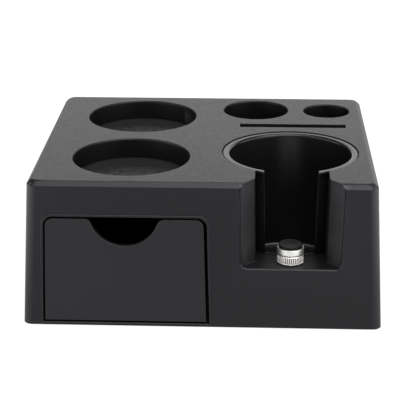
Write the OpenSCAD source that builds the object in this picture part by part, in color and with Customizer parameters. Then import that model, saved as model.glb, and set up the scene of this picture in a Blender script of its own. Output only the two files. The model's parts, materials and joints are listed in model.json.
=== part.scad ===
// Espresso accessory station: a moulded housing with two tamper recesses, two brush wells,
// a screen slot, a portafilter well with a lift-out liner, an adjustable rest and a drawer.
// Origin: on the table, under the centre of the housing. +X right, +Y back, +Z up.

/* [Body] */
// Width of the housing at its bottom edge
base_w = 190; // [190:1:196]
// Depth of the housing at its bottom edge
base_d = 171; // [171:1:176]
// Height of the housing, without the feet
body_h = 79; // [79:1:84]
// How far each wall leans in from bottom to top
draft_in = 4; // [3:0.5:4.5]
// Width of the flat chamfer round the top
top_chamfer = 2.5; // [1.5:0.5:3]
// Radius of the upright corners
corner_r = 5; // [4:0.5:7]
// Thickness of the outer walls and the top
wall = 2.5; // [2:0.1:2.6]

/* [Recesses and wells] */
// Radius of the two tamper recesses
recess_r = 31.8; // [30:0.1:32]
// Depth of the recesses down to the mats
recess_depth = 11; // [8:0.5:11]
// Radius of the larger brush well
brush_r = 19.3; // [15:0.1:19.5]
// Depth of the larger brush well
brush_depth = 56; // [30:1:66]
// Radius of the smaller tool well
tool_r = 13.7; // [10:0.1:14]
// Depth of the smaller tool well
tool_depth = 62; // [30:1:66]
// Length of the screen slot
slot_len = 61.2; // [58:0.1:62]
// Width of the screen slot
slot_w = 6.2; // [4:0.1:6.4]
// Depth of the screen slot
slot_depth = 46; // [20:1:56]

/* [Portafilter well] */
// Inner radius of the liner
liner_r = 33.3; // [32:0.1:33.4]
// Half the width of the liner's gap at its top
liner_gap = 14.4; // [13:0.1:15.5]
// Half the width of the notch between its inner walls, at its floor
notch_half = 18.5; // [18:0.1:19.2]
// Half the width of the notch where it opens in the front, at its floor
flare_half = 25.8; // [25:0.1:26.2]
// Height of the notch's floor above the table
notch_floor = 34; // [33:0.5:36]

/* [Drawer] */
// Half the width of the drawer's opening at its top
opening_half = 42.65; // [42.4:0.05:42.8]
// Height of the opening's top above the table
opening_top = 61.2; // [60:0.1:61.5]
// Radius of the thumb notch
thumb_r = 18.5; // [16:0.1:19]

/* [Adjustable rest] */
// Outer radius of the lock nut and of the collar
knob_r = 7; // [6.5:0.1:8]
// Height of the lock nut
nut_h = 4.6; // [4:0.1:6]
// Number of grooves in the lock nut's knurl
knurl_count = 40; // [24:1:48]
// Travel of the rest
rest_travel = 12; // [6:1:12]

/* [Hidden] */

plastic = "#303033";
satin_black = "#262629";
soft_black = "#3a3a3c";
steel = "#c9c9c6";
brass = "#b99a4b";

eps = 0.01;
foot_drop = 1;                     // the feet stand this far below the housing
top_z = foot_drop + body_h;
draft_deg = atan(draft_in / body_h);
front_y = -base_d / 2;             // the front face at the housing's bottom edge
floor_t = 2.5;                     // floors of recesses and wells
cup_wall = 2.2;                    // walls of recesses and wells
rim_r = 0.8;                       // rounding of the round rims

// Recesses, wells and slot
recess_x = -40;
recess_front_y = -38.2;
recess_rear_y = 38.8;
mat_t = 2;
mat_ledge = 0.8;                   // the mat's pocket is this much smaller than the recess
mat_gap = 0.3;
mat_top = top_z - recess_depth;
mat_bottom = mat_top - mat_t;
brush_at = [27.2, 53.8];
tool_at = [69.5, 52.9];
slot_at = [48.8, 21.6];

// Portafilter well
well_at = [46.5, -26.6];
liner_wall = 2.2;
liner_out = liner_r + liner_wall;
liner_sink = 0.45;                 // the flange lies this far below the top
liner_lip = 1.5;                   // rounding of the liner's inner rim
liner_foot = 2;                    // rounding between the liner's wall and floor
flange_t = 1.6;
flange_r = liner_out + 1.5;
flange_gap = 0.4;
well_bore = flange_r + flange_gap;
well_floor = foot_drop + 9;
liner_floor_t = 2;
liner_bottom = well_floor + 0.05;
liner_top = top_z - liner_sink;
liner_cut_z = notch_floor - 0.6;   // bottom of the liner's gap
liner_gap_low = liner_gap - 1.2;
tube_wall = 2.4;
notch_back_y = well_at[1] - 20;
flare_back_y = front_y + 12.5;
notch_corner = 3;
notch_x = 46.8;
notch_spread = 0.05;               // share by which the notch is wider at the top than at its floor

// Drawer and its opening
bay_x = -39.9;
drawer_x = -40.3;
opening_taper = 0.0255;            // the opening widens by this much per side and millimetre down
sill_z = foot_drop + 1.8;
side_gap = 1.2;
drawer_bottom = sill_z + 0.7;
drawer_top = opening_top - 1.1;
panel_t = 3;
tray_half = 41.2;
tray_wall = 2;
tray_top = 56;
tray_back_y = 71;
panel_corner = 4;
thumb_z = 64;
thumb_shoulder = 3.5;
bezel_w = 1.4;
bezel_out = 0.6;
guide_half = 42.7;
guide_t = 1.8;
guide_back_y = 76;

// Base plate, screws and feet
plate_t = 1.6;
plate_top = sill_z;
plate_bottom = plate_top - plate_t;
plate_gap = 0.3;
screw_at = [[-88.3, -72], [-88.3, 72], [11, -76], [11, 77], [86.5, -76], [86.5, 76]];
screw_r = 1.5;
screw_len = 11;
head_r = 2.8;
boss_r = 3.3;
pilot_depth = 11;
foot_r = 8;
foot_socket = 0.5;
foot_x = 76;
foot_y = 68;

// Adjustable rest
rest_at = [46.5, -73.4];
washer_t = 0.5;
stud_r = 3;                        // metric thread, 6 mm over the crests, 1 mm pitch
stud_gap = 0.05;
insert_r = 4.2;
insert_len = 12;
insert_bottom = notch_floor - insert_len;
insert_boss_r = 6.5;
nut_bottom = notch_floor + washer_t;
nut_top = nut_bottom + nut_h;
collar_gap = 0.3;
collar_bottom = nut_top + collar_gap;
collar_h = 3.4;
collar_top = collar_bottom + collar_h;
pad_r = 6.4;
pad_h = 1.7;
pivot_r = 2;
pivot_len = 1.8;
ring_t = 0.8;
ring_top = insert_bottom - rest_travel - 0.2;
stud_bottom = ring_top - ring_t - 1;
stud_top = collar_top - pivot_len - 0.3;

// Width or depth of the housing's outside at a height above the table
function drafted(size, z) = size - 2 * draft_in * (z - foot_drop) / body_h;

// Half the width of the drawer's opening at a height
function opening_at(z) = opening_half + (opening_top - z) * opening_taper;

// Points of an arc
function arc(x, y, r, from, to, steps = 10) =
    [for (i = [0:steps]) let (a = from + (to - from) * i / steps) [x + r * cos(a), y + r * sin(a)]];

// Outline of a rectangle with round corners, about the origin
function round_rect(w, d, r) = concat(
    arc(w / 2 - r, d / 2 - r, r, 0, 90, 8),
    arc(-w / 2 + r, d / 2 - r, r, 90, 180, 8),
    arc(-w / 2 + r, -d / 2 + r, r, 180, 270, 8),
    arc(w / 2 - r, -d / 2 + r, r, 270, 360, 8));

// Outline in X and Z that narrows upwards, with round top corners
function tapered_panel(inset, bottom, top, corner) =
    let (low = opening_at(bottom) - inset, high = opening_at(top) - inset)
    concat([[-low, bottom], [low, bottom]],
           arc(high - corner, top - corner, corner, 0, 90),
           arc(-high + corner, top - corner, corner, 90, 180));

module slab(w, d, r, z) {
    translate([0, 0, z]) linear_extrude(eps) polygon(round_rect(w, d, r));
}

// Turns an outline in X and Z into a bar along Y
module along_y(from, to) {
    translate([0, to, 0]) rotate([90, 0, 0]) linear_extrude(to - from) children();
}

// A plate that lies on the leaning front face, from `out` in front of it to `deep` behind it
module front_layer(out, deep) {
    translate([0, front_y, foot_drop]) rotate([-draft_deg, 0, 0])
        translate([-base_w, -out, -5]) cube([2 * base_w, out + deep, body_h + 20]);
}

// Cuts a round edge of radius rim_r where a bore of radius r meets the top at height z
module rim_cut(r, z) {
    translate([0, 0, z - rim_r]) rotate_extrude($fn = 96) difference() {
        translate([r - eps, 0]) square([rim_r + eps, rim_r + eps]);
        translate([r + rim_r, 0]) circle(rim_r, $fn = 48);
    }
}

module bore(at, r, from, to) {
    translate([at[0], at[1], from]) cylinder(r = r, h = to - from, $fn = 96);
}

// ---- Housing ----

module outer_form() {
    edge_z = top_z - top_chamfer;
    hull() {
        slab(base_w, base_d, corner_r, foot_drop);
        slab(drafted(base_w, edge_z), drafted(base_d, edge_z), corner_r, edge_z);
        slab(drafted(base_w, edge_z) - 2 * top_chamfer, drafted(base_d, edge_z) - 2 * top_chamfer,
             corner_r - 1, top_z - eps);
    }
}

module inner_form() {
    low = foot_drop - 1;
    high = top_z - wall;
    hull() {
        slab(drafted(base_w, low) - 2 * wall, drafted(base_d, low) - 2 * wall, corner_r - 2, low);
        slab(drafted(base_w, high) - 2 * wall, drafted(base_d, high) - 2 * wall, corner_r - 2, high);
    }
}

// The notch from its floor to the top, wider at the top, grown by `grow` at its sides and floor
module notch_form(grow) {
    translate([notch_x, 0, notch_floor - grow])
        linear_extrude(top_z - notch_floor + grow, scale = [1 + notch_spread, 1]) polygon([
            [-notch_half - grow, notch_back_y],
            [-notch_half - grow, flare_back_y],
            [-flare_half - grow, front_y + draft_in],
            [-flare_half - grow, front_y - 5],
            [flare_half + grow, front_y - 5],
            [flare_half + grow, front_y + draft_in],
            [notch_half + grow, flare_back_y],
            [notch_half + grow, notch_back_y]]);
}

module notch_cut() {
    intersection() {
        notch_form(0);
        // rounds the corners between the floor and the flared sides
        along_y(front_y - 10, 0) translate([notch_x, 0]) polygon(concat(
            arc(-flare_half + notch_corner, notch_floor + notch_corner, notch_corner, 180, 270),
            arc(flare_half - notch_corner, notch_floor + notch_corner, notch_corner, 270, 360),
            [[flare_half + 3, notch_floor + notch_corner], [flare_half + 3, top_z + 9],
             [-flare_half - 3, top_z + 9], [-flare_half - 3, notch_floor + notch_corner]]));
    }
}

module drawer_guide(x) {
    y = front_y + wall + 2;
    translate([x, y, plate_top + 0.3]) cube([guide_t, guide_back_y - y, top_z - plate_top - 1]);
}

// Everything inside the shell that hangs from the top
module inner_works() {
    for (y = [recess_front_y, recess_rear_y])
        bore([recess_x, y], recess_r + cup_wall, mat_bottom - floor_t, top_z);
    bore(brush_at, brush_r + cup_wall, top_z - brush_depth - floor_t, top_z);
    bore(tool_at, tool_r + cup_wall, top_z - tool_depth - floor_t, top_z);
    translate([slot_at[0] - slot_len / 2 - cup_wall, slot_at[1] - slot_w / 2 - cup_wall,
               top_z - slot_depth - floor_t])
        cube([slot_len + 2 * cup_wall, slot_w + 2 * cup_wall, slot_depth + floor_t]);
    bore(well_at, well_bore + tube_wall, well_floor - floor_t, top_z);
    notch_form(wall);
    bore(rest_at, insert_boss_r, insert_bottom, notch_floor);
    drawer_guide(bay_x - guide_half - guide_t);
    drawer_guide(bay_x + guide_half);
    // two ribs behind the drawer that stop it when it is pushed in
    for (x = [bay_x - 25, bay_x + 25])
        translate([x, tray_back_y + 0.5, plate_top + 0.3]) cube([2, 20, 40]);
    // screw bosses, as tall as the housing
    for (p = screw_at)
        bore(p, boss_r, plate_top, top_z);
}

module housing() {
    color(plastic) difference() {
        union() {
            difference() {
                outer_form();
                inner_form();
            }
            intersection() {
                outer_form();
                inner_works();
            }
            // raised frame round the drawer's opening
            intersection() {
                along_y(front_y - 10, front_y + 20) translate([bay_x, 0])
                    polygon(tapered_panel(-bezel_w, foot_drop + 1, opening_top + bezel_w,
                                          panel_corner + bezel_w));
                front_layer(bezel_out, 1);
            }
        }
        for (y = [recess_front_y, recess_rear_y]) {
            bore([recess_x, y], recess_r, mat_top, top_z + 1);
            bore([recess_x, y], recess_r - mat_ledge, mat_bottom, top_z);
            translate([recess_x, y, 0]) rim_cut(recess_r, top_z);
        }
        bore(brush_at, brush_r, top_z - brush_depth, top_z + 1);
        translate([brush_at[0], brush_at[1], 0]) rim_cut(brush_r, top_z);
        bore(tool_at, tool_r, top_z - tool_depth, top_z + 1);
        translate([tool_at[0], tool_at[1], 0]) rim_cut(tool_r, top_z);
        translate([slot_at[0] - slot_len / 2, slot_at[1] - slot_w / 2, top_z - slot_depth])
            cube([slot_len, slot_w, slot_depth + 1]);
        bore(well_at, well_bore, well_floor, top_z + 1);
        notch_cut();
        bore(rest_at, insert_r, insert_bottom - 1, notch_floor + 1);
        along_y(front_y - 10, front_y + wall + 3) translate([bay_x, 0])
            polygon(tapered_panel(0, sill_z, opening_top, panel_corner + side_gap));
        for (p = screw_at)
            bore(p, screw_r, plate_top - 1, plate_top + pilot_depth);
    }
}

// ---- Underside ----

module base_plate() {
    w = drafted(base_w, plate_top) - 2 * wall - 2 * plate_gap;
    d = drafted(base_d, plate_top) - 2 * wall - 2 * plate_gap;
    color(plastic) difference() {
        union() {
            translate([0, 0, plate_bottom]) linear_extrude(plate_t) polygon(round_rect(w, d, 2.5));
            // two low rails that carry the drawer
            for (x = [drawer_x - 28, drawer_x + 28])
                translate([x - 1.5, front_y + 6, plate_top - eps]) cube([3, 2 * -front_y - 20, 0.5]);
            // stiffening ribs under the wells
            for (y = [-60, 0, 60])
                translate([12, y, plate_top - eps]) cube([70, 2, 2.5]);
        }
        for (p = screw_at) {
            bore(p, screw_r + 0.2, plate_bottom - 1, plate_top + 1);
            translate([p[0], p[1], plate_bottom - eps])
                cylinder(r1 = head_r + 0.1, r2 = screw_r + 0.2, h = 1.5, $fn = 48);
        }
        for (x = [-foot_x, foot_x], y = [-foot_y, foot_y])
            bore([x, y], foot_r + 0.2, plate_bottom - 1, plate_bottom + foot_socket);
    }
}

module base_screws() {
    color(steel) for (p = screw_at) translate([p[0], p[1], plate_bottom]) difference() {
        union() {
            cylinder(r1 = head_r, r2 = screw_r, h = 1.4, $fn = 48);
            cylinder(r = screw_r - 0.02, h = screw_len - 1.5, $fn = 32);
            translate([0, 0, screw_len - 1.5])
                cylinder(r1 = screw_r - 0.02, r2 = 0.3, h = 1.5, $fn = 32);
        }
        // cross recess
        for (a = [0, 90])
            rotate([0, 0, a]) translate([-1.4, -0.3, -eps]) cube([2.8, 0.6, 1]);
    }
}

module foot(x, y) {
    color(soft_black) translate([x, y, 0]) rotate_extrude($fn = 96)
        polygon(concat([[0, 0]], arc(foot_r - 0.6, 0.6, 0.6, 270, 360, 6),
                       [[foot_r, plate_bottom + foot_socket], [0, plate_bottom + foot_socket]]));
}

// ---- Drawer ----

// Thumb notch with round shoulders, in X and Z about the drawer's middle
module thumb_outline() {
    fz = drawer_top - thumb_shoulder;
    reach = thumb_r + thumb_shoulder;
    fx = sqrt(pow(reach, 2) - pow(thumb_z - fz, 2));
    tx = fx * thumb_r / reach;
    tz = thumb_z + (fz - thumb_z) * thumb_r / reach;
    translate([0, thumb_z]) circle(thumb_r, $fn = 96);
    difference() {
        polygon([[-tx, tz], [-fx, fz], [-fx, drawer_top + 1], [fx, drawer_top + 1], [fx, fz], [tx, tz]]);
        for (side = [-1, 1])
            translate([side * fx, fz]) circle(thumb_shoulder, $fn = 48);
    }
}

module drawer() {
    color(plastic) translate([drawer_x, 0, 0]) difference() {
        union() {
            intersection() {
                along_y(front_y - 10, front_y + 20)
                    polygon(tapered_panel(side_gap, drawer_bottom, drawer_top, panel_corner));
                front_layer(0, panel_t);
            }
            translate([-tray_half, front_y + panel_t, drawer_bottom])
                cube([2 * tray_half, tray_back_y - front_y - panel_t, tray_top - drawer_bottom]);
        }
        difference() {
            translate([-tray_half + tray_wall, front_y + 2, drawer_bottom + tray_wall])
                cube([2 * (tray_half - tray_wall), tray_back_y - front_y - 2 - tray_wall, body_h]);
            front_layer(1, panel_t);
        }
        // the tray's top edge stays behind the leaning panel
        difference() {
            translate([-base_w, front_y - 5, tray_top]) cube([2 * base_w, 30, 30]);
            front_layer(10, panel_t);
        }
        along_y(front_y - 20, front_y + 20) thumb_outline();
    }
}

// ---- Mats ----

module mat(y) {
    r = recess_r - mat_ledge - mat_gap;
    color(soft_black) translate([recess_x, y, mat_bottom]) difference() {
        cylinder(r = r, h = mat_t, $fn = 96);
        // rings of shallow grip dimples
        for (ring = [[9, 8], [16, 14], [23, 20]], i = [0:ring[1] - 1])
            rotate([0, 0, 360 * i / ring[1]]) translate([ring[0], 0, mat_t - 0.5])
                cylinder(r = 1, h = 1, $fn = 16);
    }
}

module front_mat() {
    mat(recess_front_y);
}

module rear_mat() {
    mat(recess_rear_y);
}

// ---- Portafilter liner ----

module portafilter_liner() {
    color(satin_black) translate([well_at[0], well_at[1], 0]) difference() {
        rotate_extrude($fn = 128) polygon(concat(
            [[0, liner_bottom], [liner_out, liner_bottom], [liner_out, liner_top - flange_t + 0.05],
             [flange_r, liner_top - flange_t + 0.05]],
            arc(flange_r - 0.5, liner_top - 0.5, 0.5, 0, 90, 4),
            arc(liner_r + liner_lip, liner_top - liner_lip, liner_lip, 90, 180, 8),
            arc(liner_r - liner_foot, liner_bottom + liner_floor_t + liner_foot, liner_foot, 360, 270, 6),
            [[0, liner_bottom + liner_floor_t]]));
        // gap that the portafilter's neck drops into
        along_y(-2 * liner_r, 0) polygon([
            [-liner_gap_low, liner_cut_z], [liner_gap_low, liner_cut_z],
            [liner_gap, top_z + 1], [-liner_gap, top_z + 1]]);
    }
}

// ---- Adjustable rest ----

module threaded_insert() {
    color(brass) translate([rest_at[0], rest_at[1], insert_bottom]) difference() {
        cylinder(r = insert_r, h = insert_len, $fn = 64);
        translate([0, 0, -1]) cylinder(r = stud_r + stud_gap, h = insert_len + 2, $fn = 64);
    }
}

module lock_washer() {
    color(satin_black) translate([rest_at[0], rest_at[1], notch_floor]) difference() {
        cylinder(r = knob_r + 0.1, h = washer_t - 0.05, $fn = 64);
        translate([0, 0, -1]) cylinder(r = stud_r + 0.3, h = 3, $fn = 64);
    }
}

module lock_nut() {
    bevel = 0.4;
    color(steel) translate([rest_at[0], rest_at[1], nut_bottom]) difference() {
        rotate_extrude($fn = 96) polygon([
            [stud_r + stud_gap, 0], [knob_r - bevel, 0], [knob_r, bevel],
            [knob_r, nut_h - bevel], [knob_r - bevel, nut_h], [stud_r + stud_gap, nut_h]]);
        for (i = [0:knurl_count - 1])
            rotate([0, 0, 360 * i / knurl_count]) translate([knob_r + 0.1, 0, -1])
                rotate([0, 0, 45]) cube([0.6, 0.6, 2 * nut_h + 4], center = true);
    }
}

module support_stud() {
    color(steel) translate([rest_at[0], rest_at[1], 0]) difference() {
        union() {
            translate([0, 0, stud_bottom + 0.5])
                cylinder(r = stud_r, h = stud_top - stud_bottom - 0.5, $fn = 64);
            translate([0, 0, stud_bottom])
                cylinder(r1 = stud_r - 0.5, r2 = stud_r, h = 0.5, $fn = 64);
        }
        // groove for the stop ring
        translate([0, 0, ring_top - ring_t]) difference() {
            cylinder(r = stud_r + 1, h = ring_t, $fn = 64);
            cylinder(r = stud_r - 0.5, h = 3 * ring_t, center = true, $fn = 64);
        }
    }
}

module support_collar() {
    color(steel) translate([rest_at[0], rest_at[1], 0]) difference() {
        rotate_extrude($fn = 96) polygon([
            [0, collar_bottom], [knob_r - 0.5, collar_bottom], [knob_r, collar_bottom + 0.5],
            [knob_r, collar_top - 0.2], [knob_r - 0.2, collar_top], [0, collar_top]]);
        // socket for the stud
        translate([0, 0, collar_bottom - 1])
            cylinder(r = stud_r, h = stud_top - collar_bottom + 1, $fn = 64);
        // socket for the pad's pivot
        translate([0, 0, collar_top - pivot_len - 0.1])
            cylinder(r = pivot_r + stud_gap, h = pivot_len + 1, $fn = 64);
    }
}

module stop_ring() {
    color(steel) translate([rest_at[0], rest_at[1], ring_top - ring_t + 0.05]) difference() {
        cylinder(r = 5, h = ring_t - 0.1, $fn = 64);
        translate([0, 0, -1]) cylinder(r = stud_r - 0.45, h = 3, $fn = 64);
        // open side, which lets the ring snap on
        translate([0, -1.5, -1]) cube([6, 3, 3]);
    }
}

module support_pad() {
    color(satin_black) translate([rest_at[0], rest_at[1], collar_top + 0.05]) {
        rotate_extrude($fn = 96) polygon(concat(
            [[0, 0], [pad_r, 0]], arc(pad_r - 0.9, pad_h - 0.9, 0.9, 0, 90, 6), [[0, pad_h]]));
        translate([0, 0, -pivot_len]) cylinder(r = pivot_r, h = pivot_len + eps, $fn = 64);
    }
}

housing();
base_plate();
base_screws();
foot(-foot_x, -foot_y);  // foot_front_left
foot(foot_x, -foot_y);  // foot_front_right
foot(-foot_x, foot_y);  // foot_rear_left
foot(foot_x, foot_y);  // foot_rear_right
drawer();
front_mat();
rear_mat();
portafilter_liner();
threaded_insert();
lock_washer();
lock_nut();
support_stud();
support_collar();
stop_ring();
support_pad();
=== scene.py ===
"""Looks of the espresso accessory station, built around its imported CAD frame.

Metres throughout, unless a name ends in _mm. +X is right, +Y is back, +Z is up, the table is z = 0.
"""

import json
import math

import bmesh
import bpy
from mathutils import Matrix, Vector


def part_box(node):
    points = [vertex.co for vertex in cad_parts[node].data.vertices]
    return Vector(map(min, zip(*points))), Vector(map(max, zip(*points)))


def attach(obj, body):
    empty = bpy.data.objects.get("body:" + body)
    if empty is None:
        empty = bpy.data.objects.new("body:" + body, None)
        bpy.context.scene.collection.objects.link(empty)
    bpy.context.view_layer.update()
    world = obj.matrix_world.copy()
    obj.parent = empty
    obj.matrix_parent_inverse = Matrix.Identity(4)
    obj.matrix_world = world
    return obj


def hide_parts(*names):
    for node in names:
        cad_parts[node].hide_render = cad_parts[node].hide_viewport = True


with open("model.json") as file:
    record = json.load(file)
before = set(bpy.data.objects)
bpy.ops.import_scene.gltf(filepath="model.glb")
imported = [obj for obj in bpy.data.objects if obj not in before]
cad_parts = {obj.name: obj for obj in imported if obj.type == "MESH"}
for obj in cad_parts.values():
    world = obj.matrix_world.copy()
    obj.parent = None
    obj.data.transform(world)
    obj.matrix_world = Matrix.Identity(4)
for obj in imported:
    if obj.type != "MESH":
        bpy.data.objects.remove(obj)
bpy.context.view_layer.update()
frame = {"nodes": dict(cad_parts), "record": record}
MM = 0.001

# ---- Sizes that are read from the frame ----

record = frame["record"]
BODY_OF = {node: body for body, nodes in record["behaviour"]["bodies"].items() for node in nodes}


def centre_of(node):
    low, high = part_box(node)
    return (low + high) / 2


def box_mm(node):
    low, high = (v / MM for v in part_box(node))
    return low, high


SHELL_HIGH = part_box("housing")[1]
TOP_MM = SHELL_HIGH.z / MM
FLOOR_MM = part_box("lock_washer")[0].z / MM
WELL_MM = centre_of("portafilter_liner").xy / MM
REST_AT = centre_of("support_collar").xy
NUT_LOW, NUT_HIGH = box_mm("lock_nut")
NUT_R_MM = (NUT_HIGH.x - NUT_LOW.x) / 2
RING_LOW, RING_HIGH = box_mm("stop_ring")
INSERT_LOW, INSERT_HIGH = box_mm("threaded_insert")

# Round openings whose plain rims stay as the frame has them, as (x, y, radius) in mm
ROUND_RIMS_MM = [(mount["pos_m"][0] / MM, mount["pos_m"][1] / MM, mount["dims"]["r_mm"])
                 for mount in record["mounts"]
                 if mount["name"] in ("front_recess", "rear_recess", "brush_well", "tool_well")]

# ---- Sizes that repeat the frame's driving dimensions ----

DRAFT_PER_MM = 4.0 / 79.0  # how far the walls lean in for each mm of height
FRONT_Y_MM = -85.5  # foot of the front wall
FOOT_DROP_MM = 1.0  # gap under the housing
NOTCH_X_MM = 46.8  # middle of the portafilter's notch
FLARE_HALF_MM = 25.8  # half of the notch's width at the front, where it is widest


# ---- Materials ----


class Finish:
    """A material under construction: its nodes and its Principled shader."""

    def __init__(self, name):
        self.material = bpy.data.materials.new(name)
        self.material.use_nodes = True
        self.tree = self.material.node_tree
        self.shader = self.tree.nodes["Principled BSDF"]
        self.place = self.add("ShaderNodeTexCoord").outputs["Object"]

    def add(self, kind, **settings):
        node = self.tree.nodes.new(kind)
        for key, value in settings.items():
            setattr(node, key, value)
        return node

    def link(self, source, target):
        self.tree.links.new(source, target)

    def noise(self, size, detail=2.0, roughness=0.5, stretch=None):
        """Noise whose features are about `size` metres wide; stretch scales its axes."""
        node = self.add("ShaderNodeTexNoise")
        node.inputs["Scale"].default_value = 1.0 / size
        node.inputs["Detail"].default_value = detail
        node.inputs["Roughness"].default_value = roughness
        place = self.place
        if stretch:
            mapping = self.add("ShaderNodeMapping")
            mapping.inputs["Scale"].default_value = stretch
            self.link(self.place, mapping.inputs["Vector"])
            place = mapping.outputs["Vector"]
        self.link(place, node.inputs["Vector"])
        return node.outputs["Fac"]

    def span(self, source, low, high, from_low=0.3, from_high=0.7):
        """Maps source from its usual range to low..high."""
        node = self.add("ShaderNodeMapRange")
        for key, value in (("From Min", from_low), ("From Max", from_high),
                           ("To Min", low), ("To Max", high)):
            node.inputs[key].default_value = value
        self.link(source, node.inputs["Value"])
        return node.outputs["Result"]

    def blend(self, factor, first, second):
        """A colour between two colours, or between a socket and a colour."""
        node = self.add("ShaderNodeMix", data_type="RGBA")
        self.link(factor, node.inputs["Factor"])
        for socket, value in ((node.inputs["A"], first), (node.inputs["B"], second)):
            sockets = [s for s in node.inputs if s.name == socket.name and s.type == "RGBA"]
            if isinstance(value, tuple):
                sockets[0].default_value = (*value, 1.0)
            else:
                self.link(value, sockets[0])
        return [s for s in node.outputs if s.type == "RGBA"][0]

    def bump(self, height, depth, below=None, strength=1.0):
        node = self.add("ShaderNodeBump")
        node.inputs["Distance"].default_value = depth
        node.inputs["Strength"].default_value = strength
        self.link(height, node.inputs["Height"])
        if below:
            self.link(below, node.inputs["Normal"])
        return node.outputs["Normal"]

    def edges(self, low=0.505, high=0.56):
        """Rises from 0 to 1 with the surface's pointiness: 0.5 is flat, more is an outward edge."""
        return self.span(self.add("ShaderNodeNewGeometry").outputs["Pointiness"], 0.0, 1.0, low, high)

    def set(self, **values):
        """Sets plain shader values; an underscore stands for a space in the socket's name."""
        for key, value in values.items():
            self.shader.inputs[key.replace("_", " ")].default_value = value
        return self

    def joined(self, operation, first, second):
        """Two sockets put through one maths operation."""
        node = self.add("ShaderNodeMath", operation=operation)
        self.link(first, node.inputs[0])
        self.link(second, node.inputs[1])
        return node.outputs["Value"]

    def beyond(self, direction, start, fade):
        """Rises from 0 to 1 where the place along `direction` goes from start to start + fade."""
        node = self.add("ShaderNodeVectorMath", operation="DOT_PRODUCT")
        self.link(self.place, node.inputs[0])
        node.inputs[1].default_value = direction
        return self.span(node.outputs["Value"], 0.0, 1.0, start, start + fade)


def scaled(colour, factor):
    return tuple(c * factor for c in colour)


DRIFT_SIZE = 45 * MM
MOTTLE_GRAINS = 4.2  # the mottle's size, in grains
MATTE_SWING = 0.04  # how far the mottle moves the roughness each way
EDGE_HIGHLIGHT = 1.7  # how much lighter the outward edges are painted, a painted highlight


def moulded(name, colour, roughness, specular, grain, grain_depth, mottle_share=1.0, sheen=None):
    """Moulded plastic or rubber: a fine grain over a coarser mottle, slow colour drift and a painted
    highlight on outward edges.

    mottle_share is the mottle's depth as a share of the grain's; sheen(finish) may give a socket that scales
    the reflections from place to place.
    """
    f = Finish(name)
    drift = f.noise(DRIFT_SIZE, 3.0)
    fine = f.noise(grain, 2.0, 0.6)
    mottle = f.noise(grain * MOTTLE_GRAINS, 2.5, 0.65)
    body = f.blend(f.span(drift, 0, 1), scaled(colour, 0.86), scaled(colour, 1.14))
    body = f.blend(f.span(fine, 0, 0.5), body, scaled(colour, 1.35))
    # painted highlight: outward edges get a lighter base colour
    f.link(f.blend(f.edges(), body, scaled(colour, EDGE_HIGHLIGHT)), f.shader.inputs["Base Color"])
    f.link(f.span(mottle, roughness - MATTE_SWING, roughness + MATTE_SWING), f.shader.inputs["Roughness"])
    mottle_normal = f.bump(mottle, grain_depth * mottle_share)
    f.link(f.bump(fine, grain_depth, mottle_normal), f.shader.inputs["Normal"])
    if sheen:
        f.link(f.span(sheen(f), 0, specular * 2, 0, 2), f.shader.inputs["Specular IOR Level"])
    return f.set(Specular_IOR_Level=specular, Specular_Tint=(0.94, 0.94, 1.0, 1.0), IOR=1.5).material


MASK_FADE = 0.8 * MM
# reflection scales: stronger on the flares, weaker inside the openings, where they paint shade
FLARE_SHEEN = 1.65
RECESS_SHADE_SCALE = 0.6


def region(f, limits):
    """1 where the place lies beyond every limit, given as (direction, start in mm)."""
    mask = None
    for direction, start in limits:
        side = f.beyond(direction, start * MM, MASK_FADE)
        mask = f.joined("MULTIPLY", mask, side) if mask else side
    return mask


def housing_sheen_and_shade(f):
    """Stronger reflections on the notch's flared walls, and weaker ones inside the other openings, a painted
    shade.
    """
    right, left, back, front, up, down = ((1, 0, 0), (-1, 0, 0), (0, 1, 0), (0, -1, 0), (0, 0, 1), (0, 0, -1))
    behind_front = (0, 1, -DRAFT_PER_MM)
    flares = region(f, [(behind_front, FRONT_Y_MM + 0.3), (front, 70), (right, 19), (left, -76),
                        (up, FLOOR_MM + 0.4), (down, 0.6 - TOP_MM)])
    below_top = [(behind_front, FRONT_Y_MM + 5), (down, 1.0 - TOP_MM), (front, -78)]
    left_part = region(f, below_top + [(left, -5), (right, -85)])
    rear_part = region(f, below_top + [(back, 15), (left, -85)])
    # painted shade: weaker reflections inside the recesses and other openings
    painted_shade = f.joined("MAXIMUM", left_part, rear_part)
    return f.joined("MULTIPLY", f.span(flares, 1, FLARE_SHEEN, 0, 1), f.span(painted_shade, 1, RECESS_SHADE_SCALE, 0, 1))


STREAK_SIZE = 0.45 * MM
STREAK_DEPTH = 0.002 * MM


def metal(name, colour, roughness, streaks):
    """Metal with fine turned or drawn streaks and painted shade in its hollows; `streaks` scales the noise's
    axes.
    """
    f = Finish(name)
    lines = f.noise(STREAK_SIZE, 3.0, 0.6, streaks)
    haze = f.noise(4 * MM, 2.0)
    body = f.blend(f.span(haze, 0, 1), scaled(colour, 0.9), colour)
    # painted shade: hollows and inside corners get a base colour a quarter as bright
    f.link(f.blend(f.edges(0.47, 0.495), scaled(colour, 0.25), body), f.shader.inputs["Base Color"])
    f.link(f.span(lines, roughness - 0.05, roughness + 0.07), f.shader.inputs["Roughness"])
    f.link(f.bump(lines, STREAK_DEPTH), f.shader.inputs["Normal"])
    return f.set(Metallic=1.0).material


BLACK = (0.0020, 0.0020, 0.0023)
TURNED = (0.25, 0.25, 6.0)  # streaks that run round the upright axis
EVEN = (1.0, 1.0, 1.0)
GRAIN = 0.42 * MM

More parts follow.
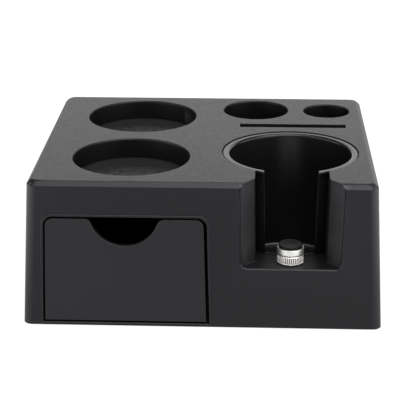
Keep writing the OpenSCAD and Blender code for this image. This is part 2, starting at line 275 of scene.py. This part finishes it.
housing_plastic = moulded("housing_plastic", BLACK, 0.44, 0.285, GRAIN, 0.030 * MM, mottle_share=3.4,
                           sheen=housing_sheen_and_shade)
drawer_plastic = moulded("drawer_plastic", scaled(BLACK, 1.15), 0.44, 0.32, GRAIN, 0.026 * MM)
base_plastic = moulded("base_plastic", scaled(BLACK, 1.1), 0.58, 0.34, 0.6 * MM, 0.040 * MM)
liner_plastic = moulded("liner_plastic", (0.0035, 0.0035, 0.0038), 0.30, 0.34, 0.30 * MM, 0.006 * MM)
pad_plastic = moulded("pad_plastic", (0.0050, 0.0050, 0.0053), 0.14, 0.06, 0.25 * MM, 0.001 * MM)
mat_silicone = moulded("mat_silicone", (0.0060, 0.0060, 0.0065), 0.55, 0.24, 0.50 * MM, 0.030 * MM)
foot_silicone = moulded("foot_silicone", (0.0230, 0.0230, 0.0240), 0.66, 0.38, 0.50 * MM, 0.030 * MM)
washer_rubber = moulded("washer_rubber", (0.0060, 0.0060, 0.0062), 0.60, 0.30, 0.30 * MM, 0.015 * MM)
knob_steel = metal("knob_steel", (0.68, 0.67, 0.65), 0.42, TURNED)
stud_steel = metal("stud_steel", (0.55, 0.55, 0.54), 0.28, TURNED)
screw_steel = metal("screw_steel", (0.50, 0.50, 0.50), 0.32, EVEN)
insert_brass = metal("insert_brass", (0.70, 0.50, 0.20), 0.30, TURNED)


# ---- Mesh helpers ----


def finish_mesh(piece, material, node, sharp_deg=32):
    """Smooth shading with sharp edges kept, material, body and the CAD node that the piece stands for."""
    mesh = piece.data
    mesh.materials.clear()
    mesh.materials.append(material)
    mesh.shade_smooth()
    mesh.set_sharp_from_angle(angle=math.radians(sharp_deg))
    weighted = piece.modifiers.new("weighted", "WEIGHTED_NORMAL")
    weighted.keep_sharp = True
    weighted.weight = 60
    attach(piece, BODY_OF[node])
    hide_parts(node)
    return piece


def new_piece(name, mesh):
    piece = bpy.data.objects.new(name, mesh)
    bpy.context.scene.collection.objects.link(piece)
    return piece


def mesh_from(name, bm):
    bmesh.ops.recalc_face_normals(bm, faces=bm.faces)
    mesh = bpy.data.meshes.new(name)
    bm.to_mesh(mesh)
    bm.free()
    return mesh


CORNER_TURN = math.radians(26)  # an edge that turns less is part of a curve


def rounded_copy(node, name, material, width_at, segments=3, inner_at=None):
    """A copy of a CAD node with its flat faces made whole and its outward edges rounded.

    width_at(middle of the edge in mm, edge's direction) gives each sharp outward edge's rounding in mm,
    or 0, and inner_at does the same for inside corners.
    """
    bm = bmesh.new()
    bm.from_mesh(frame["nodes"][node].data)
    bmesh.ops.remove_doubles(bm, verts=bm.verts, dist=1e-6)
    bmesh.ops.dissolve_limit(bm, angle_limit=math.radians(0.3), verts=bm.verts, edges=bm.edges)
    widths = {}
    for edge in bm.edges:
        if len(edge.link_faces) != 2:
            continue
        start, end = (v.co for v in edge.verts)
        middle, way = (start + end) / 2 / MM, (end - start).normalized()
        if edge.calc_face_angle_signed() > CORNER_TURN:
            widths[edge.index] = width_at(middle, way)
        elif inner_at and edge.calc_face_angle_signed() < -CORNER_TURN:
            widths[edge.index] = inner_at(middle, way)
    widest = max(widths.values())
    bm.edges.ensure_lookup_table()
    weight = bm.edges.layers.float.new("bevel_weight_edge")
    for index, width in widths.items():
        bm.edges[index][weight] = width / widest
    piece = new_piece(name, mesh_from(name, bm))
    bevel = piece.modifiers.new("rounding", "BEVEL")
    bevel.limit_method = "WEIGHT"
    bevel.width = widest * MM
    bevel.segments = segments
    bevel.profile = 0.35
    bevel.use_clamp_overlap = False
    bevel.miter_outer = "MITER_ARC"
    bpy.context.view_layer.update()
    graph = bpy.context.evaluated_depsgraph_get()
    piece.data = bpy.data.meshes.new_from_object(piece.evaluated_get(graph))
    piece.modifiers.clear()
    return finish_mesh(piece, material, node)


def even(width):
    """The same rounding on every edge, for rounded_copy."""
    return lambda middle, way: width


def filleted(corners, steps=4):
    """Outline points in (radius, height) mm from corners (radius, height, rounding)."""
    points = []
    count = len(corners)
    for i, (x, y, r) in enumerate(corners):
        here = Vector((x, y))
        if r == 0:
            points.append(here)
            continue
        before = (Vector(corners[i - 1][:2]) - here).normalized()
        after = (Vector(corners[(i + 1) % count][:2]) - here).normalized()
        half = before.angle(after) / 2
        reach = r / math.tan(half)
        centre = here + (before + after).normalized() * (r / math.sin(half))
        first = here + before * reach - centre
        last = here + after * reach - centre
        turn = math.atan2(first.x * last.y - first.y * last.x, first.dot(last))
        for k in range(steps + 1):
            points.append(centre + Matrix.Rotation(turn * k / steps, 2) @ first)
    return points


def turned(name, points, at, turns=96, shape=None):
    """A solid of revolution about the upright line through `at`, from a closed outline in mm.

    shape(radius, height, turn), with turn from 0 to 1, may change each point's radius, all in mm.
    """
    bm = bmesh.new()
    rings = []
    for radius, height in points:
        if radius == 0:
            rings.append([bm.verts.new((at[0], at[1], height * MM))] * turns)
            continue
        ring = []
        for k in range(turns):
            angle = 2 * math.pi * k / turns
            r = (shape(radius, height, k / turns) if shape else radius) * MM
            ring.append(bm.verts.new((at[0] + r * math.cos(angle), at[1] + r * math.sin(angle), height * MM)))
        rings.append(ring)
    for i, upper in enumerate(rings):
        lower = rings[i - 1]
        for k in range(turns):
            corners = [lower[k - 1], lower[k], upper[k], upper[k - 1]]
            corners = [v for j, v in enumerate(corners) if v not in corners[:j]]
            if len(corners) > 2:
                bm.faces.new(corners)
    return new_piece(name, mesh_from(name, bm))


# ---- Housing ----


def behind_front(p):
    """How far a point lies behind the leaning front face, in mm."""
    return p.y - FRONT_Y_MM - (p.z - FOOT_DROP_MM) * DRAFT_PER_MM


def inside_side(p):
    """How far a point lies inside the nearest leaning side or back face, in mm."""
    lean = (p.z - FOOT_DROP_MM) * DRAFT_PER_MM
    return min(SHELL_HIGH.x / MM - lean - abs(p.x), SHELL_HIGH.y / MM - lean - p.y)


def upright(way):
    return abs(way.z) > 0.9


def level(way):
    return abs(way.z) < 0.1


def housing_rounding(p, way):
    """Width of the rounding in mm for the housing's edge whose middle is p."""
    if any(math.hypot(p.x - x, p.y - y) < radius + 1.5 for x, y, radius in ROUND_RIMS_MM):
        return 0
    inside = min(behind_front(p), inside_side(p))
    if p.z > TOP_MM - 0.1:  # rims in the top, and the top's own outline
        return 0.2 if inside > 4 else 0.8
    if p.z > TOP_MM - 3.5 and inside < 1:  # lower edge of the chamfer
        return 0.25
    in_notch = (abs(p.x - NOTCH_X_MM) < FLARE_HALF_MM + 2 and p.y < WELL_MM.y - 25
                and p.z > FLOOR_MM - 0.2)
    if in_notch and behind_front(p) < 0.6:  # sill, and the flares' front edges
        return 1.0 if p.z < FLOOR_MM + 4 else 0.7
    if in_notch and upright(way):  # where the flares meet the neck, and the neck the well
        return 0.9 if p.y < WELL_MM.y - 40 else 0.3
    if in_notch and p.z < FLOOR_MM + 0.1 and level(way):  # back edge of the notch's floor
        return 1.2
    if behind_front(p) < -0.1:  # raised frame round the drawer
        return 0.4
    if behind_front(p) < 0.6 and p.z > 2:  # the drawer's opening and the front corners
        return 0.3
    if p.z < FOOT_DROP_MM + 0.1 and inside < 0.5:  # foot of the outer walls
        return 0.35
    return 0


def notch_fillet(p, way):
    """Width of the fillet in mm at the foot of the notch's walls."""
    in_notch = abs(p.x - NOTCH_X_MM) < FLARE_HALF_MM + 2 and p.y < WELL_MM.y - 30
    return 0.8 if in_notch and abs(p.z - FLOOR_MM) < 0.1 and level(way) else 0


rounded_copy("housing", "housing_shell", housing_plastic, housing_rounding,
             inner_at=notch_fillet)


# ---- Drawer, liner, base and mats ----


def drawer_rounding(p, way):
    return 0.4 if behind_front(p) < 0.3 else 0.25


rounded_copy("drawer", "drawer_tray", drawer_plastic, drawer_rounding)
rounded_copy("portafilter_liner", "liner_cup", liner_plastic, even(0.25))
rounded_copy("base_plate", "base_panel", base_plastic, even(0.15), 2)
rounded_copy("base_screws", "base_screw_set", screw_steel, even(0.06), 2)
rounded_copy("stop_ring", "stop_ring_open", stud_steel, even(0.1), 2)
rounded_copy("lock_washer", "lock_washer_flat", washer_rubber, even(0.12), 2)
for mat_node in ("front_mat", "rear_mat"):
    rounded_copy(mat_node, mat_node + "_dimpled", mat_silicone, even(0.16), 2)


# ---- Feet ----

GROOVE_RADII_MM = (3.0, 5.0)
GROOVE_DEPTH_MM = 0.35


def foot(node):
    """A soft foot with two round grooves in its underside."""
    low, high = box_mm(node)
    radius = (high.x - low.x) / 2
    groove_top = low.z + GROOVE_DEPTH_MM
    outline = [(0, low.z, 0)]
    for groove in GROOVE_RADII_MM:
        outline += [(groove - 0.4, low.z, 0.1), (groove - 0.15, groove_top, 0.1),
                    (groove + 0.15, groove_top, 0.1), (groove + 0.4, low.z, 0.1)]
    outline += [(radius, low.z, 0.6), (radius, high.z, 0.15), (0, high.z, 0)]
    piece = turned(node + "_pad", filleted(outline), centre_of(node))
    return finish_mesh(piece, foot_silicone, node)


for foot_node in ("foot_front_left", "foot_front_right", "foot_rear_left", "foot_rear_right"):
    foot(foot_node)


# ---- Adjustable rest ----

KNURLS = 40
KNURL_DEPTH_MM = 0.5
KNURL_LAND_MM = 0.45  # plain band above and below the knurling
KNURL_FADE_MM = 0.2
STUD_R_MM = 3.0
BORE_R_MM = 3.05
PIVOT_R_MM = 2.0
SOCKET_DEPTH_MM = 1.95  # the collar's hollow for the pad's pivot
THREAD_PITCH_MM = 1.0
THREAD_DEPTH_MM = 0.55
RING_GROOVE_R_MM = 2.5
INSERT_KNURLS = 28


def ridge(turns):
    """1 where `turns` is whole, falling evenly to 0 half way to the next whole turn."""
    return abs(turns % 1.0 - 0.5) * 2


def knurl(radius, height, turn):
    """Cuts upright grooves into the nut's side, fading out at its two lands."""
    if radius < NUT_R_MM - 1:
        return radius
    from_end = min(height - NUT_LOW.z, NUT_HIGH.z - height)
    fade = min(1.0, max(0.0, (from_end - KNURL_LAND_MM) / KNURL_FADE_MM))
    return radius - KNURL_DEPTH_MM * fade * max(0.0, 1 - ridge(turn * KNURLS) * 1.6)


def lock_nut():
    low, high, radius = NUT_LOW, NUT_HIGH, NUT_R_MM
    outline = filleted([(BORE_R_MM, low.z, 0.2), (radius, low.z, 0.4), (radius, high.z, 0.6),
                        (BORE_R_MM, high.z, 0.2)])
    knurled = high.z - low.z - 2 * KNURL_LAND_MM
    side = [low.z + KNURL_LAND_MM + knurled * k / 14 for k in range(1, 14)]
    split = next(i for i, p in enumerate(outline) if p.x > radius - 0.3 and p.y > (low.z + high.z) / 2)
    outline[split:split] = [Vector((radius, z)) for z in side]
    piece = turned("lock_nut_knurled", outline, REST_AT, KNURLS * 10, knurl)
    return finish_mesh(piece, knob_steel, "lock_nut")


def collar():
    low, high = box_mm("support_collar")
    radius = (high.x - low.x) / 2
    socket_floor, stud_top = high.z - SOCKET_DEPTH_MM, low.z + 1.35
    outline = filleted([(0, socket_floor, 0), (0, stud_top, 0), (STUD_R_MM, stud_top, 0),
                        (STUD_R_MM, low.z, 0.15), (radius, low.z, 0.6), (radius, high.z, 0.28),
                        (PIVOT_R_MM + 0.05, high.z, 0.1), (PIVOT_R_MM + 0.05, socket_floor, 0)])
    piece = turned("support_collar_ring", outline, REST_AT, 128)
    return finish_mesh(piece, knob_steel, "support_collar")


def pad():
    """The black cap: its pivot stands in the collar, and a shallow dish lies inside its rim."""
    low, high = box_mm("support_pad")
    radius = (high.x - low.x) / 2
    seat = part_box("support_collar")[1].z / MM + 0.05
    outline = filleted([(0, low.z, 0), (PIVOT_R_MM, low.z, 0.2), (PIVOT_R_MM, seat, 0), (radius, seat, 0.12),
                        (radius, high.z - 0.4, 0.2), (radius - 0.5, high.z, 0.2),
                        (radius - 1.1, high.z, 0.15), (radius - 1.3, high.z - 0.2, 0.15),
                        (0, high.z - 0.2, 0)])
    piece = turned("support_pad_cap", outline, REST_AT, 128)
    return finish_mesh(piece, pad_plastic, "support_pad")


def thread(radius, height, turn):
    """Cuts the screw thread into the stud, and its plain groove for the stop ring."""
    if radius < STUD_R_MM - 0.8:
        return radius
    if RING_LOW.z - 0.15 < height < RING_HIGH.z + 0.15:
        return RING_GROOVE_R_MM
    return radius - THREAD_DEPTH_MM * min(1.0, max(0.0, 1.25 * ridge(height / THREAD_PITCH_MM - turn) - 0.1))


def stud():
    low, high = box_mm("support_stud")
    rows = int((high.z - low.z) / THREAD_PITCH_MM * 10)
    side = [Vector((STUD_R_MM, low.z + (high.z - low.z) * k / rows)) for k in range(rows + 1)]
    tip = STUD_R_MM - 1.0
    outline = [Vector((0, low.z)), Vector((tip, low.z)), *side, Vector((tip, high.z)), Vector((0, high.z))]
    piece = turned("support_stud_threaded", outline, REST_AT, 64, thread)
    return finish_mesh(piece, stud_steel, "support_stud", 50)


def insert_knurl(radius, height, turn):
    """Cuts slanting grooves into the insert's side, and a plain one round its middle."""
    middle = (INSERT_LOW.z + INSERT_HIGH.z) / 2
    if radius < 4:
        return radius
    if abs(height - middle) < 0.8:
        return radius - 0.4
    lean = 0.04 * (height - middle)
    return radius - 0.25 * (1 - ridge((turn + lean) * INSERT_KNURLS))


def insert():
    low, high, rows = INSERT_LOW, INSERT_HIGH, 40
    radius = 4.2
    side = [Vector((radius, low.z + (high.z - low.z) * k / rows)) for k in range(rows + 1)]
    outline = [Vector((BORE_R_MM, high.z)), Vector((BORE_R_MM, low.z)), Vector((radius - 0.3, low.z)), *side,
               Vector((radius - 0.3, high.z))]
    piece = turned("threaded_insert_knurled", outline, REST_AT, INSERT_KNURLS * 8, insert_knurl)
    return finish_mesh(piece, insert_brass, "threaded_insert", 50)


lock_nut()
collar()
pad()
stud()
insert()


# ---- Floor, lights and camera ----

FLOOR_SIZE = 8.0
FLOOR_GLOW = 0.96
WORLD_GLOW = 0.06
WHITE = (1.0, 1.0, 1.0, 1.0)


def make_floor():
    bm = bmesh.new()
    bmesh.ops.create_grid(bm, x_segments=4, y_segments=4, size=FLOOR_SIZE / 2)
    floor = new_piece("studio_floor", mesh_from("studio_floor", bm))
    f = Finish("floor_white")
    shade = f.blend(f.span(f.noise(0.6, 2.0), 0, 1), (0.10, 0.10, 0.10), (0.12, 0.12, 0.12))
    f.link(shade, f.shader.inputs["Base Color"])
    f.set(Roughness=0.9, Specular_IOR_Level=0.0, Emission_Color=WHITE, Emission_Strength=FLOOR_GLOW)
    floor.data.materials.append(f.material)


def softbox(name, at, aim, width, height, radiance):
    """A rectangular light at `at` that faces `aim`; radiance is its brightness as the object sees it."""
    lamp = bpy.data.lights.new(name, "AREA")
    lamp.shape = "RECTANGLE"
    lamp.size, lamp.size_y = width, height
    lamp.energy = radiance * math.pi * width * height
    light = bpy.data.objects.new(name, lamp)
    light.location = at
    light.rotation_euler = (Vector(aim) - Vector(at)).to_track_quat("-Z", "Y").to_euler()
    light.visible_camera = False
    bpy.context.scene.collection.objects.link(light)


def make_lights():
    """A dim white studio: two lights overhead, one behind for the sheen on the top, low ones at the sides."""
    world = bpy.data.worlds.new("studio")
    bpy.context.scene.world = world
    world.use_nodes = True
    background = world.node_tree.nodes["Background"]
    background.inputs["Color"].default_value = WHITE
    background.inputs["Strength"].default_value = WORLD_GLOW
    softbox("overhead", (0.10, -0.25, 1.30), (0, 0, 0.05), 1.4, 1.0, 3.6)
    softbox("overhead_front", (0.40, -0.78, 1.15), (0, 0, 0.05), 1.7, 0.7, 5.0)
    softbox("back", (0.30, 1.60, 0.65), (0, 0, 0.10), 2.6, 1.1, 1.62)
    for side, name in ((1, "right"), (-1, "left")):
        softbox(name + "_strip", (0.55 * side, -0.25, 0.16), (0, -0.05, 0.04), 0.9, 0.3, 4.2)
        softbox(name + "_reflector", (0.62 * side, 0.10, 0.004), (0.62 * side, 0.10, 1.0), 0.9, 1.2, 0.9)


CAMERA_AT = (0.02815, -0.74369, 0.31360)
CAMERA_YAW_DEG = 2.5008
CAMERA_PITCH_DEG = 20.0999
CAMERA_ROLL_DEG = -0.1141
LENS_MM = 123.41


def make_camera():
    yaw, pitch, roll = (math.radians(a) for a in (CAMERA_YAW_DEG, CAMERA_PITCH_DEG, CAMERA_ROLL_DEG))
    turn = (Matrix.Rotation(yaw, 3, "Z") @ Matrix.Rotation(math.pi / 2 - pitch, 3, "X")
            @ Matrix.Rotation(roll, 3, "Z"))
    lens = bpy.data.cameras.new("camera")
    lens.sensor_width = 36.0
    lens.lens = LENS_MM
    lens.clip_start = 0.01
    camera = bpy.data.objects.new("camera", lens)
    camera.matrix_world = Matrix.Translation(CAMERA_AT) @ turn.to_4x4()
    bpy.context.scene.collection.objects.link(camera)
    bpy.context.scene.camera = camera


make_floor()
make_lights()
make_camera()
bpy.context.scene.view_settings.view_transform = "Standard"
